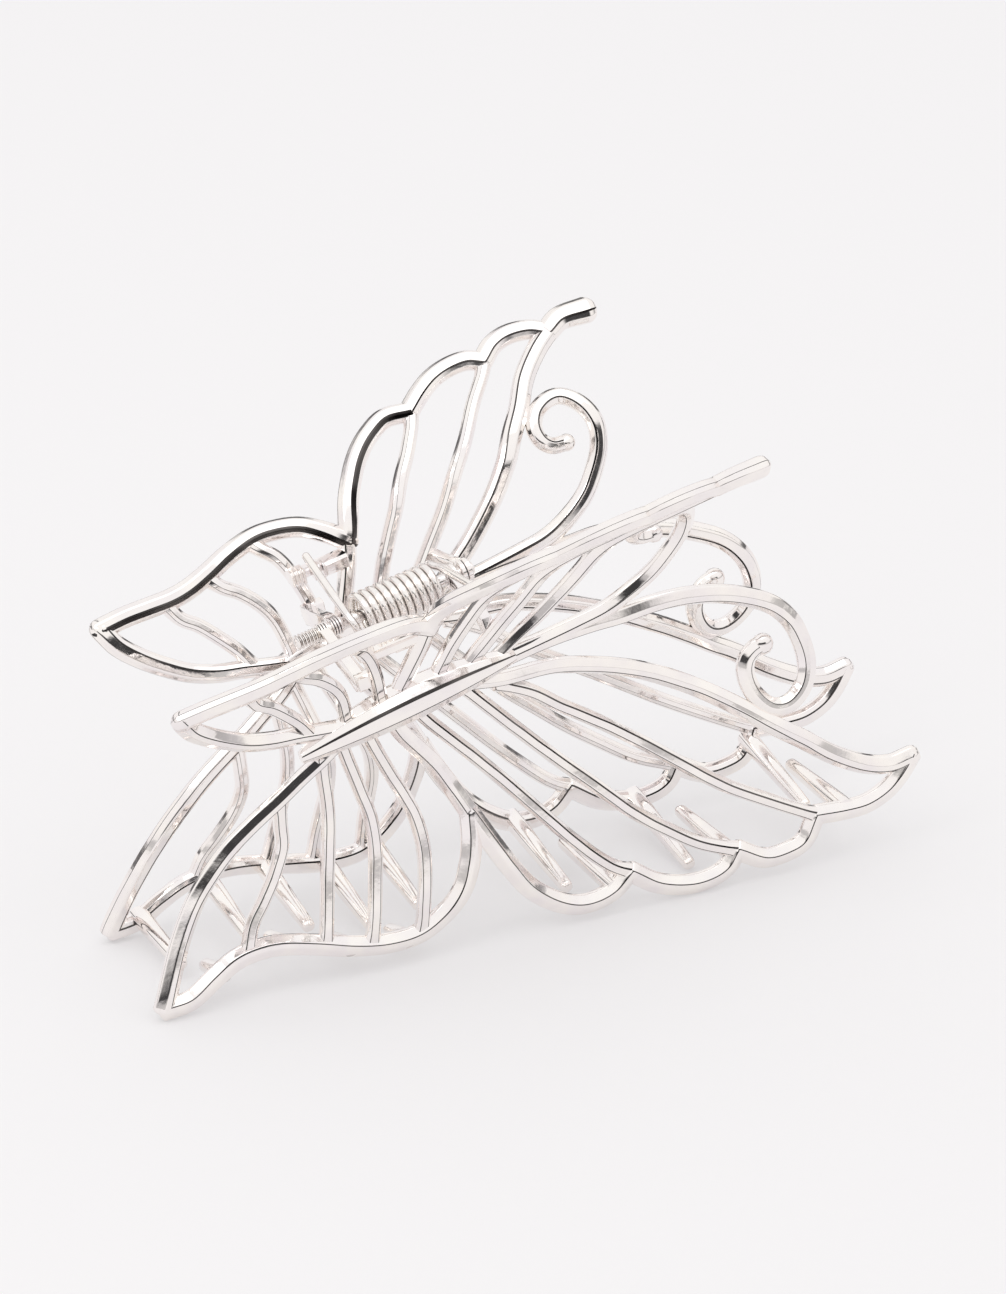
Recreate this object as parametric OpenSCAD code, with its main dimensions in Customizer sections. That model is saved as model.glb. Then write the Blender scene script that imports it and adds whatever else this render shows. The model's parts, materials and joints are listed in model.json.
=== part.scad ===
// Butterfly hair claw: two cast wing halves, hinge pin, torsion spring.
// Millimetres. +X runs along the length, the back half is at +Y, +Z is up.
// Origin: centre of the bounding box at floor level, claw standing on its jaws.

/* [Size] */
// overall scale of the wing outlines
wing_scale = 1; // [0.8:0.05:1.2]
// tilt of the hinge line when the claw stands on its jaws
stand_tilt = 12.4; // [0:0.1:20]
// sideways lean of the standing claw
stand_lean = 0; // [-3:0.05:3]
// play of the hinge: the halves are turned in plane by this much against each other
half_twist = 1.6; // [0:0.1:6]
// shift of the halves against each other along the hinge
half_shift = 1.1; // [0:0.1:3]
// one half sits higher by this much
half_rise = 1.1; // [0:0.1:2]

/* [Rims] */
// width of the wing rims across the surface
rim_width = 2.7; // [1.5:0.1:4]
// thickness of the wing rims through the surface
rim_thick = 2.3; // [1.2:0.1:3.5]
// width of the veins
vein_width = 1.8; // [1:0.1:3]
// thickness of the veins
vein_thick = 1.7; // [0.8:0.1:3]
// width of the antenna wire at its root
antenna_width = 2.4; // [1.4:0.1:4]
// diameter of the ball at the end of the jaw antenna
curl_ball = 2.9; // [1.5:0.1:4]

/* [Body] */
// greatest diameter of the body bar
body_dia = 3.4; // [2:0.1:5]

/* [Teeth] */
// length of the large wing teeth
long_tooth = 15; // [8:0.5:17]
// length of the small wing teeth of the back half
back_short_tooth = 13; // [5:0.5:13]
// length of the small wing teeth of the front half
front_short_tooth = 6.5; // [5:0.5:7]
// diameter at the root of a tooth
tooth_root = 2.6; // [1.6:0.1:3.5]
// diameter at the tip of a tooth
tooth_tip = 1.6; // [0.8:0.1:2.5]
// downward slope of the small wing teeth of the back half
back_short_drop = 13; // [0:1:15]
// downward slope of the small wing teeth of the front half
front_short_drop = 18; // [0:1:25]
// downward slope of the large wing teeth of the back half
back_long_drop = 12; // [0:0.5:15]
// downward slope of the large wing teeth of the front half
front_long_drop = 4; // [0:0.5:15]

/* [Hinge] */
// diameter of the hinge pin
pin_dia = 1.5; // [1:0.1:2.5]
// radial running clearance of the pin in the front lugs
pin_gap = 0.06; // [0.02:0.01:0.1]
// outer diameter of the lug eyes
eye_dia = 3.2; // [2.6:0.1:6]
// width of one lug along the pin
lug_width = 1.4; // [0.8:0.1:2.5]
// left end of the pin
pin_left = -25; // [-30:0.5:-22]
// right end of the pin
pin_right = -1.4; // [-1.8:0.1:6]

/* [Spring] */
// outer diameter of the coil
coil_dia = 5.8; // [4:0.1:8]
// diameter of the spring wire
spring_wire = 1; // [0.6:0.1:1.6]
// number of turns
spring_turns = 10; // [5:1:14]
// left end of the coil
coil_left = -16.9; // [-19:0.1:-14]
// right end of the coil
coil_right = -6.2; // [-9:0.1:-5]

/* [Hidden] */

// hinge line above the point the halves are turned about
pivot_drop = 12;
// moves the standing claw so that its box is centred and on the floor
centre_x = -4.152;
centre_y = 0;
ground_lift = 45.394;

silver = [0.83, 0.83, 0.84];
steel = [0.7, 0.7, 0.72];

// outward distance of the wing surface from the hinge plane, by height
surface = [[-56, 9.4], [-45, 9.7], [-40, 10], [-35, 10.3], [-32, 10], [-29, 9.2],
  [-26, 8.3], [-22, 7.3], [-18, 7], [-13, 7.4], [-10, 7.8], [-5, 9], [0, 10.8],
  [2, 11.6], [4, 12.4], [5.5, 13.6], [7, 15.4], [9, 18.3], [10.5, 20.4],
  [12, 22.4], [13.5, 24.2], [16, 27]];
function out(z) = (lookup(z - 0.7, surface) + lookup(z, surface) + lookup(z + 0.7, surface)) / 3;

// smooth curve through route points, n steps per span
function cr(a, b, c, d, t) = 0.5 * (2 * b + (c - a) * t + (2 * a - 5 * b + 4 * c - d) * t * t
  + (3 * b - a - 3 * c + d) * t * t * t);
function smooth(p, n = 2) = let (m = len(p) - 1)
  [for (i = [0 : m - 1]) for (k = [0 : n - 1])
     cr(i > 0 ? p[i - 1] : 2 * p[0] - p[1], p[i], p[i + 1],
        i < m - 1 ? p[i + 2] : 2 * p[m] - p[m - 1], k / n),
   p[m]];

function unit(v) = v / norm(v);
// wire cross-sections, unit size: across the surface, through the surface
bevel8 = [[0.5, -0.1], [0.5, 0.12], [0.24, 0.5], [-0.24, 0.5], [-0.5, 0.12], [-0.5, -0.1],
  [-0.27, -0.5], [0.27, -0.5]];
flat6 = [[0.5, -0.12], [0.42, 0.5], [-0.42, 0.5], [-0.5, -0.12], [-0.25, -0.5], [0.25, -0.5]];
round8 = [for (a = [22.5 : 45 : 359]) 0.5 * [cos(a), sin(a)]];

// faces of a swept tube with m spans and k sides
function tube_faces(m, k, flip = false) = let (f = concat(
    [[for (j = [0 : k - 1]) j]],
    [for (i = [0 : m - 1]) for (j = [0 : k - 1]) [i * k + (j + 1) % k, i * k + j, (i + 1) * k + j]],
    [for (i = [0 : m - 1]) for (j = [0 : k - 1])
      [i * k + (j + 1) % k, (i + 1) * k + j, (i + 1) * k + (j + 1) % k]],
    [[for (j = [k - 1 : -1 : 0]) m * k + j]]))
  flip ? [for (q = f) [for (i = [len(q) - 1 : -1 : 0]) q[i]]] : f;

// wire laid on the wing surface along [x, z] route points
module wire(route, w, t, ends = [1, 1], sec = bevel8, n = 2, lift = 0) {
  q = smooth(route, n);
  m = len(q) - 1;
  p = [for (v = q) [v[0], out(v[1]) + lift, v[1]]];
  k = len(sec);
  pts = [for (i = [0 : m])
    let (tan = unit(p[min(i + 1, m)] - p[max(i - 1, 0)]),
         nrm = unit([0, 1, -(out(p[i][2] + 1) - out(p[i][2] - 1)) / 2]),
         bin = unit(cross(tan, nrm)), nn = cross(bin, tan),
         f = ends[0] + (ends[1] - ends[0]) * i / m)
      for (s = sec) p[i] + bin * s[0] * w * f + nn * s[1] * t * (0.4 + 0.6 * f)];
  polyhedron(pts, tube_faces(m, k, true), convexity = 6);
}
// route with its two ends drawn out, so that crossing wires overlap past the cusp
function stretch(r, a = 0.25, b = 0.45) = let (m = len(r) - 1)
  [r[0] - a * unit(r[1] - r[0]), for (i = [1 : m - 1]) r[i], r[m] + b * unit(r[m] - r[m - 1])];
module rim(route, ends = [1, 1]) { wire(route, rim_width, rim_thick, ends); }
module vein(route, ends = [1, 1]) { wire(route, vein_width, vein_thick, ends, flat6); }

// outline routes, [x along the hinge, z above it]
small_up = [[-44.2, 4.5], [-41, 4.6], [-38, 4.5], [-35, 4.4], [-32.5, 4.6], [-29.5, 5.2],
  [-26.5, 5.9], [-23, 6.4], [-20, 6.3], [-17, 5.7], [-14.5, 4.4], [-12.3, 2.7]];
small_down = [[-44.2, 4.5], [-43, 2.1], [-41, -0.1], [-38.5, -2.2], [-36, -3.9], [-33, -5.2],
  [-30, -6], [-27, -6.9], [-24, -7.7], [-21, -8.4]];
small_trail = [[-12.3, 2.7], [-13.4, 0], [-15, -3], [-16.2, -5.2], [-17.5, -8.4]];
small_veins = [
  [[-35.8, 4.4], [-34.8, 2.2], [-33, 0.6], [-31.2, -1.6], [-29.5, -4], [-28.3, -6.6]],
  [[-30, 5.1], [-28.7, 3.5], [-26.8, 2], [-25, -0.2], [-24, -2.4], [-23.6, -5], [-23.4, -7.8]],
  [[-23.4, 6.4], [-22.6, 5.4], [-21.2, 4.1], [-20.3, 2.3], [-19.7, 0.3], [-19.3, -1.8],
   [-19, -4.6], [-18.8, -8.4]]];
large_scallops = [
  [[-12.3, 2.5], [-10.4, 5.7], [-8.2, 7.7], [-6, 9.1], [-3.6, 10.1], [-1, 10.7], [2, 10.4]],
  [[2, 10.4], [4.4, 11.4], [6.7, 12.1], [9.2, 12.4], [11.5, 12.3], [13.2, 11.7]],
  [[13.2, 11.7], [15.3, 12.6], [17.6, 12.9], [20.2, 12.6], [22.2, 11.8]],
  [[22.2, 11.8], [24.5, 12.4], [27.8, 12.2]]];
large_lead = [[22.6, 11.9], [19.7, 10.8], [16.6, 9.2], [14.1, 7.3], [11.5, 5.4], [9.3, 3.1],
  [7.2, 1], [4.7, -1.1], [1.9, -3.2], [-0.3, -4.6], [-4, -7]];
large_veins = [
  [[2, 10.4], [1.4, 9.4], [-0.7, 7.7], [-3.5, 5.6], [-5.8, 2.9], [-8.2, -0.2], [-9.8, -2.6],
   [-12.6, -7.8]],
  [[13.2, 11.7], [12.2, 10.7], [9.3, 8.9], [6.5, 6.9], [3.1, 4.4], [0.2, 1.3], [-2.8, -1.6],
   [-6, -4.8], [-9, -7.6]]];
lever_curl = [[-5, -7.6], [-1, -7.4], [3, -7.2], [7.4, -6.9], [11, -6.5], [14.2, -5.4],
  [17.4, -3.6], [19.8, -1.2], [21.3, 1], [21.9, 3.2], [21.6, 5], [20.6, 6.3], [19.2, 7],
  [17.4, 7], [15.6, 6.4], [14.6, 5.3], [14.7, 4], [15.8, 3], [17.6, 2.7]];

jaw_lead = [[-24.5, -9.4], [-27, -11], [-30, -12.5], [-33, -14.1], [-37, -16], [-40.5, -18],
  [-44, -20.6], [-47, -23.4], [-49.8, -26.8], [-52, -30], [-54, -33.2]];
jaw_low = [[-54, -33.2], [-50.5, -33.4], [-47, -32], [-44, -31], [-41, -30.9], [-38, -31.5],
  [-34.4, -33], [-30, -35.2], [-25.5, -37], [-21.3, -37.6], [-17.8, -36.5], [-14.9, -34.4],
  [-13, -31.5], [-11.8, -28.8], [-11, -25.8]];
jaw_trail = [[-18, -8.6], [-16.9, -12], [-13.9, -17.6], [-12.2, -22.2], [-11, -26]];
jaw_small_veins = [
  [[-33.4, -14.2], [-33.8, -17.5], [-34.3, -20.4], [-36, -23.2], [-38.4, -25.8], [-40.7, -28],
   [-42.3, -31]],
  [[-27.2, -10.6], [-27.4, -13], [-27.7, -18], [-28.6, -22], [-30.4, -27], [-32.8, -33.6]],
  [[-24.6, -9.2], [-24.2, -12], [-23.3, -17.7], [-22.9, -21.6], [-23.5, -25.5], [-24.8, -29.2],
   [-27.2, -36]],
  [[-21.4, -9], [-20.6, -12.2], [-19.4, -16.4], [-18.2, -20.5], [-17.6, -23.5], [-17.7, -27],
   [-18.5, -30.2], [-19.7, -33.8], [-20.8, -37.4]]];
jaw_scallops = [
  [[-11, -25.8], [-9.6, -30], [-8.2, -33.8], [-6.3, -37.8], [-3.7, -41], [-1, -43],
   [1.7, -43.7], [4.4, -43.3], [6.8, -41.7]],
  [[6.8, -41.7], [10, -45], [13.8, -47], [17, -47.5], [19.4, -46.9], [21, -45.2]],
  [[21, -45.2], [24.2, -47.9], [27.4, -48.5], [30, -47.9], [32, -45.1]],
  [[32, -45.1], [35.6, -46.1], [38.8, -46.6], [41.7, -46], [43.9, -44.6], [45.7, -42.7]]];
jaw_large_lead = [[-9, -8.4], [-3.4, -10.4], [3, -11.6], [8.2, -13.8], [13, -16.5], [17, -19.4],
  [21.5, -23.2], [25.6, -27.2], [28.7, -30.5], [32, -33.8], [35.4, -37.5], [39.3, -40.8],
  [42.6, -42.4], [46.4, -42.4]];
jaw_large_veins = [
  [[-4, -10.6], [0.1, -13.8], [3.6, -17.6], [8.1, -22], [12.2, -26.2], [15, -29.2],
   [20.5, -35], [26.6, -40.5], [32, -45.1]],
  [[-8.6, -8.6], [-6.3, -12.3], [-2.5, -18.2], [1, -23.4], [4.6, -28.3], [8.3, -33.3],
   [12, -37.5], [16.1, -41.7], [21, -45.2]],
  [[-15, -8.6], [-13.2, -12], [-9.2, -18.3], [-5.5, -24.3], [-2.1, -30], [0.8, -34.6],
   [4.1, -39.2], [6.8, -41.7]]];
jaw_curl = [[-6, -7.8], [-3, -7.5], [1, -7.3], [4.8, -7.4], [9, -7.8], [12.8, -8.4],
  [17, -8.7], [21, -9.5], [25.5, -11.2], [29.3, -13.4], [32.5, -16], [34.5, -19],
  [35.3, -22], [35.3, -24.8], [34.4, -27], [32.8, -28.4], [30.9, -28.9], [29, -28.2],
  [27.7, -26.2], [27.3, -23.8], [27.9, -21.9], [29.2, -20.9], [30.4, -20.8]];

// tooth roots on the jaw margin
back_short = [[-41, -30.9], [-33.5, -33.4], [-26, -36.8], [-19.5, -37.2]];
back_long = [[-50, -32.8], [-1.5, -42.2], [14.5, -46.6], [31, -46]];
front_short = [[-46, -31.7], [-37.5, -31.6], [-30, -35.2], [-22.8, -37.4]];
front_long = [[4.5, -42.9], [20.4, -45.6], [36, -45.8]];

// one mesh of several crossing wires
module cast() { resize([0, 0, 0]) union() children(); }

module body_bar() {
  a = [-30, out(-9.1), -9.1];
  b = [-1.6, out(-7.2), -7.2];
  k = [for (i = [0 : 10]) i / 10];
  pts = [for (i = k) let (c = a + (b - a) * i + [0, 0.7, 0.9 * sin(180 * i)],
      r = 0.35 + (body_dia / 2 - 0.35) * pow(sin(180 * i), 0.7))
    for (j = [0 : 9]) c + r * [0, cos(36 * j), sin(36 * j)]];
  polyhedron(pts, tube_faces(10, 10), convexity = 4);
}
module lever_small_rim() cast() { rim(small_up); rim(small_down, [1, 0.8]); rim(small_trail, [0.9, 0.8]); }
module lever_small_veins() cast() for (v = small_veins) vein(v);
module lever_large_rim() cast() {
  for (v = large_scallops) rim(stretch(v));
  rim(large_lead, [1, 0.8]);
  translate([27.8, out(12.2), 12.2]) sphere(d = rim_width * 1.15, $fn = 12);
}
module lever_large_veins() cast() for (v = large_veins) vein(v, [1, 1.1]);
module lever_antenna() cast() {
  wire(lever_curl, antenna_width, rim_thick * 0.9, [1, 0.75], round8);
  translate([17.6, out(2.7), 2.7]) sphere(d = 2.2, $fn = 12);
}
module jaw_small_rim() cast() { rim(jaw_lead, [0.8, 1]); rim(jaw_low); rim(jaw_trail, [0.8, 0.9]); }
module jaw_small_veins() cast() for (v = jaw_small_veins) vein(v);
module jaw_large_rim() cast() {
  for (v = jaw_scallops) rim(stretch(v, 0.3, 0.7), [1, 0.94]);
  rim(jaw_large_lead, [0.8, 0.9]);
}
module jaw_large_veins() cast() for (v = jaw_large_veins) vein(v, [1, 1]);
module jaw_antenna() cast() {
  wire(jaw_curl, antenna_width, rim_thick * 0.9, [1, 0.8], round8);
  translate([30.4, out(-20.8), -20.8]) sphere(d = curl_ball, $fn = 14);
}
module tooth(at, length, drop) {
  translate([at[0], out(at[1]) + 0.4, at[1]]) rotate([90 + drop, 0, 0]) {
    cylinder(d1 = tooth_root, d2 = tooth_tip, h = length, $fn = 24);
    translate([0, 0, length]) sphere(d = tooth_tip, $fn = 24);
  }
}
module jaw_teeth(short, long, reach, dip, drop) {
  for (p = short) tooth(p, reach, dip);
  for (p = long) tooth(p, p[0] < -40 ? reach : long_tooth, p[0] < -40 ? 2 : drop);
}
// lug eyes on the hinge line, arms out to the wing roots, and a foot that joins the left arm to its vein
module hinge_lugs(xs, bore) {
  for (x = xs) difference() {
    union() {
      translate([x, 0, 0]) rotate([0, 90, 0]) cylinder(d = eye_dia, h = lug_width, center = true, $fn = 40);
      translate([x, 0, -1.5]) rotate([0, 90, 0]) linear_extrude(lug_width, center = true)
        polygon([[-2.6, 1], [-1.4, 0], [0.2, 0.4], [2.4, 8.9], [1.2, 9.9], [-0.2, 9.2]]);
      if (x < -15) translate([x + 0.8, 9.4, -2.5]) cube([2.8, 1.5, 2.2], center = true);
    }
    translate([x, 0, 0]) rotate([0, 90, 0]) cylinder(d = bore, h = 9, center = true, $fn = 40);
  }
}
// ribbed bar the spring leg leans on, with a notch between the ribs
module spring_bridge() {
  y = out(1.6) - 0.2;
  translate([-16.7, y, 1.05]) cube([7.2, 1.6, 1.8], center = true);
  for (x = [-20, -19.4, -17.6, -17, -16.4])
    translate([x, y - 1, 1.1]) cube([0.4, 0.9, 2.1], center = true);
}

module stand() translate([centre_x, centre_y, ground_lift]) rotate([stand_lean, -stand_tilt, 0]) children();
module half(s) stand() translate([s * half_shift / 2, 0, s * half_rise / 2 - pivot_drop])
  rotate([0, -s * half_twist / 2, 0]) translate([0, 0, pivot_drop])
    scale([wing_scale, 1, wing_scale]) mirror([0, s > 0 ? 0 : 1, 0]) children();
module axle() stand() children();
module axle_half(s) stand() mirror([0, s > 0 ? 0 : 1, 0]) children();

back_lug_x = [-19.7, -2.6];
front_lug_x = [-21.4, -4.4];

module back_body_bar() color(silver) half(1) body_bar();
module back_lever_small_rim() color(silver) half(1) lever_small_rim();
module back_lever_small_veins() color(silver) half(1) lever_small_veins();
module back_lever_large_rim() color(silver) half(1) lever_large_rim();
module back_lever_large_veins() color(silver) half(1) lever_large_veins();
module back_lever_antenna() color(silver) half(1) lever_antenna();
module back_jaw_small_rim() color(silver) half(1) jaw_small_rim();
module back_jaw_small_veins() color(silver) half(1) jaw_small_veins();
module back_jaw_large_rim() color(silver) half(1) jaw_large_rim();
module back_jaw_large_veins() color(silver) half(1) jaw_large_veins();
module back_jaw_antenna() color(silver) half(1) jaw_antenna();
module back_jaw_teeth() color(silver) half(1) jaw_teeth(back_short, back_long, back_short_tooth, back_short_drop, back_long_drop);
module back_hinge_lugs() color(silver) axle_half(1) hinge_lugs(back_lug_x, pin_dia);
module back_spring_bridge() color(silver) half(1) spring_bridge();
module front_body_bar() color(silver) half(-1) body_bar();
module front_lever_small_rim() color(silver) half(-1) lever_small_rim();
module front_lever_small_veins() color(silver) half(-1) lever_small_veins();
module front_lever_large_rim() color(silver) half(-1) lever_large_rim();
module front_lever_large_veins() color(silver) half(-1) lever_large_veins();
module front_lever_antenna() color(silver) half(-1) lever_antenna();
module front_jaw_small_rim() color(silver) half(-1) jaw_small_rim();
module front_jaw_small_veins() color(silver) half(-1) jaw_small_veins();
module front_jaw_large_rim() color(silver) half(-1) jaw_large_rim();
module front_jaw_large_veins() color(silver) half(-1) jaw_large_veins();
module front_jaw_antenna() color(silver) half(-1) jaw_antenna();
module front_jaw_teeth() color(silver) half(-1) jaw_teeth(front_short, front_long, front_short_tooth, front_short_drop, front_long_drop);
module front_hinge_lugs() color(silver) axle_half(-1) hinge_lugs(front_lug_x, pin_dia + 2 * pin_gap);
module front_spring_bridge() color(silver) half(-1) spring_bridge();

module hinge_pin() color(steel) axle() {
  translate([pin_left + 0.4, 0, 0]) rotate([0, 90, 0])
    cylinder(d = pin_dia, h = pin_right - pin_left - 0.4, $fn = 40);
  // ribbed end of the pin
  translate([pin_left, 0, 0]) rotate([0, 90, 0]) rotate_extrude($fn = 40)
    polygon(concat([[0, 0], [0.5, 0]],
      [for (i = [0 : 5]) each [[pin_dia / 2 + 0.12, 0.2 + i * 0.45], [pin_dia / 2 - 0.1, 0.4 + i * 0.45]]],
      [[0, 2.8]]));
}

module torsion_spring() color(steel) axle() {
  r = (coil_dia - spring_wire) / 2;
  n = 14;
  turns = spring_turns + 0.75;
  m = round(turns * n);
  coil = [for (i = [0 : m]) let (a = -90 - 360 * i / n, lead = max(0, 1 - i / 8))
    [coil_left + (coil_right - coil_left) * i / m - 1.1 * lead * lead, r * sin(a), r * cos(a)]];
  p = concat([[coil_left - 1.3, 9.6, 4.9], [coil_left - 1.4, 1.2, 2.1], [coil_left - 1.4, -0.9, 1.5],
    [coil_left - 1.3, -2.05, 0.85]],
    coil, [[coil_right + 0.5, -1.5, 2.5], [coil_right + 0.8, -9.6, 3.8]]);
  k = len(p) - 1;
  pts = [for (i = [0 : k])
    let (t = unit(p[min(i + 1, k)] - p[max(i - 1, 0)]), u = unit(cross(t, [1, 0.01, 0])), v = cross(t, u))
      for (j = [0 : 5]) p[i] + spring_wire / 2 * (u * cos(60 * j) + v * sin(60 * j))];
  polyhedron(pts, tube_faces(k, 6), convexity = 10);
}

back_body_bar();
back_lever_small_rim();
back_lever_small_veins();
back_lever_large_rim();
back_lever_large_veins();
back_lever_antenna();
back_jaw_small_rim();
back_jaw_small_veins();
back_jaw_large_rim();
back_jaw_large_veins();
back_jaw_antenna();
back_jaw_teeth();
back_hinge_lugs();
back_spring_bridge();
front_body_bar();
front_lever_small_rim();
front_lever_small_veins();
front_lever_large_rim();
front_lever_large_veins();
front_lever_antenna();
front_jaw_small_rim();
front_jaw_small_veins();
front_jaw_large_rim();
front_jaw_large_veins();
front_jaw_antenna();
front_jaw_teeth();
front_hinge_lugs();
front_spring_bridge();
hinge_pin();
torsion_spring();
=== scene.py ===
"""Butterfly hair claw: detailed castings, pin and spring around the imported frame, in metres."""

import json
import math

import bpy
import numpy as np
from mathutils import Matrix, Vector


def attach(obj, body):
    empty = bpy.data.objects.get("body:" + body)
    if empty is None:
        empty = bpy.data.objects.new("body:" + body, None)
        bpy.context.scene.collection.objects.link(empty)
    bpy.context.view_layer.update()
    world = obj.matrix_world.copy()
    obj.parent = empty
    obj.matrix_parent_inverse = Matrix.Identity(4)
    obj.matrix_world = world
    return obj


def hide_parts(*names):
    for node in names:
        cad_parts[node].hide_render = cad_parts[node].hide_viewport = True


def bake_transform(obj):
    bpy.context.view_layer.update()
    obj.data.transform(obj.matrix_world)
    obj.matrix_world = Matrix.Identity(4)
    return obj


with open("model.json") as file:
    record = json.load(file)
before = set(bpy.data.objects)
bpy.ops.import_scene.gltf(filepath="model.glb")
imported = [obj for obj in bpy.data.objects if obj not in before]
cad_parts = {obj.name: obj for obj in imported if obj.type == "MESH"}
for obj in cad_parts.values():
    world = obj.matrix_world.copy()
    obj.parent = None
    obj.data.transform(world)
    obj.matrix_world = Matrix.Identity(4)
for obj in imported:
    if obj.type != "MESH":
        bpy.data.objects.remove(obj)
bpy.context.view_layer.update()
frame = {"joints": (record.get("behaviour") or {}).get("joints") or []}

MM = 0.001
hinge = frame["joints"][0]
HINGE_POS = Vector(hinge["pos_m"])
HINGE_DIR = -Vector(hinge["axis"]).normalized()

# sizes in mm, angles in degrees
RIM_WIDTH, RIM_DEPTH = 2.58, 2.17
VEIN_WIDTH, VEIN_DEPTH = 1.75, 1.65
ANTENNA_WIDTH, ANTENNA_DEPTH = 2.65, RIM_DEPTH * 0.95
BODY_DIA, BODY_TIP_RADIUS = 4.8, 0.7
TOOTH_ROOT, TOOTH_TAPER, TOOTH_TIP, TIP_RADIUS = 1.25, 0.45, 0.965, 0.815
LONG_TOOTH, WING_TIP_X, WING_TIP_DROP = 15, -40, 2
LUG_WIDTH, EYE_RADII, EYE_GROOVES = 1.4, (1.12, 1.5), ((-0.35, 0, 0.35), (0,))
LUG_X = {1: (-19.7, -2.6), -1: (-21.4, -4.4)}
LUG_ARM = [(0.8, 0.8), (0.98, -0.1), (0.62, -1.0), (3.4, -2.2), (6.4, -3.1), (8.9, -3.9), (9.8, -2.8),
           (9.1, -1.4), (6.4, -0.7), (3.6, 0.2), (1.9, 0.75)]
PIN_RADIUS, PIN_CLEARANCE, PIN_LEFT, PIN_RIGHT = 0.75, 0.06, -25, -1.4
THREAD_PITCH, THREAD_TURNS, THREAD_START = 0.45, 6, 0.2
COIL_LEFT, COIL_RIGHT, COIL_TURNS, COIL_RADIUS = -16.9, -6.2, 10, 2.42
COIL_WIRE, LEG_WIRE, COIL_STEPS, EASE, EASE_STEPS = 0.9, 1.0, 24, 1.1, 14
SHARP_ANGLE = math.radians(34)

# ---------------------------------------------------------------- camera
CAM_AZIMUTH, CAM_ELEVATION, CAM_DISTANCE = -25.8, 26.7, 0.8
CAM_TARGET = Vector((-0.001575, 0, 0.033674))
FOCAL_PIXELS, IMAGE_HEIGHT, SENSOR = 6720, 1294, 36
CLIP = (0.01, 50)


def direction(azimuth, elevation):
    """Unit vector from the object towards an azimuth and elevation; azimuth 0 is in front, at -Y."""
    a, e = math.radians(azimuth), math.radians(elevation)
    return Vector((math.sin(a) * math.cos(e), -math.cos(a) * math.cos(e), math.sin(e)))


scene = bpy.context.scene
camera = bpy.data.objects.new("camera", bpy.data.cameras.new("camera"))
scene.collection.objects.link(camera)
camera.data.sensor_width = SENSOR
camera.data.lens = FOCAL_PIXELS / IMAGE_HEIGHT * SENSOR
camera.data.clip_start, camera.data.clip_end = CLIP
look = direction(CAM_AZIMUTH, CAM_ELEVATION)
camera.location = CAM_TARGET + look * CAM_DISTANCE
camera.rotation_mode = "QUATERNION"
camera.rotation_quaternion = (-look).to_track_quat("-Z", "Y")
scene.camera = camera

# ---------------------------------------------------------------- where the halves stand
# the back half sits SHIFT to the right and RISE above the front one, and is turned by TWIST about a point DROP below
SHIFT, RISE, TWIST, DROP = 1.1, 1.1, math.radians(1.6), 12.0


def stand():
    """Hinge frame to row frame in mm: x along the hinge, y to the back, z up from the pin."""
    turn = Vector((1, 0, 0)).rotation_difference(HINGE_DIR).to_matrix().to_4x4()
    return Matrix.Translation(HINGE_POS / MM) @ turn


def half(s):
    """Half frame to row frame in mm: x along the hinge, y outward, z above it; s is 1 at the back, -1 in front."""
    place = Matrix.Translation((s * SHIFT / 2, 0, s * RISE / 2 - DROP))
    turn = Matrix.Rotation(-s * TWIST / 2, 4, "Y") @ Matrix.Translation((0, 0, DROP))
    return stand() @ place @ turn @ Matrix.Diagonal((1, s, 1, 1))


def axle(s=1):
    """Hinge frame to row frame for what sits on the pin, with y outward for side s."""
    return stand() @ Matrix.Diagonal((1, s, 1, 1))


# outward distance of the wing surface from the hinge plane, by height above the hinge
SURFACE = np.array([[-60, 9.3], [-56, 9.4], [-45, 9.7], [-40, 10], [-35, 10.3], [-32, 10], [-29, 9.2],
    [-26, 8.3], [-22, 7.3], [-18, 7], [-13, 7.4], [-10, 7.8], [-5, 9], [0, 10.8], [2, 11.6], [4, 12.4],
    [5.5, 13.6], [7, 15.4], [9, 18.3], [10.5, 20.4], [12, 22.4], [13.5, 24.2], [16, 27], [20, 31.4]])
SURFACE_STEP, SURFACE_BLUR, BLUR_REACH = 0.1, 0.7, 25
surface_z = np.arange(-60, 20, SURFACE_STEP)
kernel = np.exp(-0.5 * (np.arange(-BLUR_REACH, BLUR_REACH + 1) * SURFACE_STEP / SURFACE_BLUR) ** 2)
surface_y = np.convolve(np.pad(np.interp(surface_z, SURFACE[:, 0], SURFACE[:, 1]), BLUR_REACH, mode="edge"),
                        kernel / kernel.sum(), mode="valid")
surface_slope = np.gradient(surface_y, surface_z)


def out(z):
    """Outward distance of the wing surface at height z."""
    return np.interp(z, surface_z, surface_y)


# ---------------------------------------------------------------- swept wires
def smooth(route, step=0.4):
    """Catmull-Rom curve through the route, with points about step apart."""
    p = np.array(route, float)
    p = np.vstack([2 * p[0] - p[1], p, 2 * p[-1] - p[-2]])
    pts = []
    for i in range(1, len(p) - 2):
        a, b, c, d = p[i - 1], p[i], p[i + 1], p[i + 2]
        n = max(2, int(math.ceil(np.linalg.norm(c - b) / step)))
        for t in np.arange(n) / n:
            pts.append(0.5 * (2 * b + (c - a) * t + (2 * a - 5 * b + 4 * c - d) * t * t
                              + (3 * b - a - 3 * c + d) * t ** 3))
    pts.append(p[-2])
    return np.array(pts)


# share of a side that a corner may take, and the length from which a side gets two points of its own
LONGEST_CUT, LONG_SIDE = 0.42, 0.25


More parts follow.
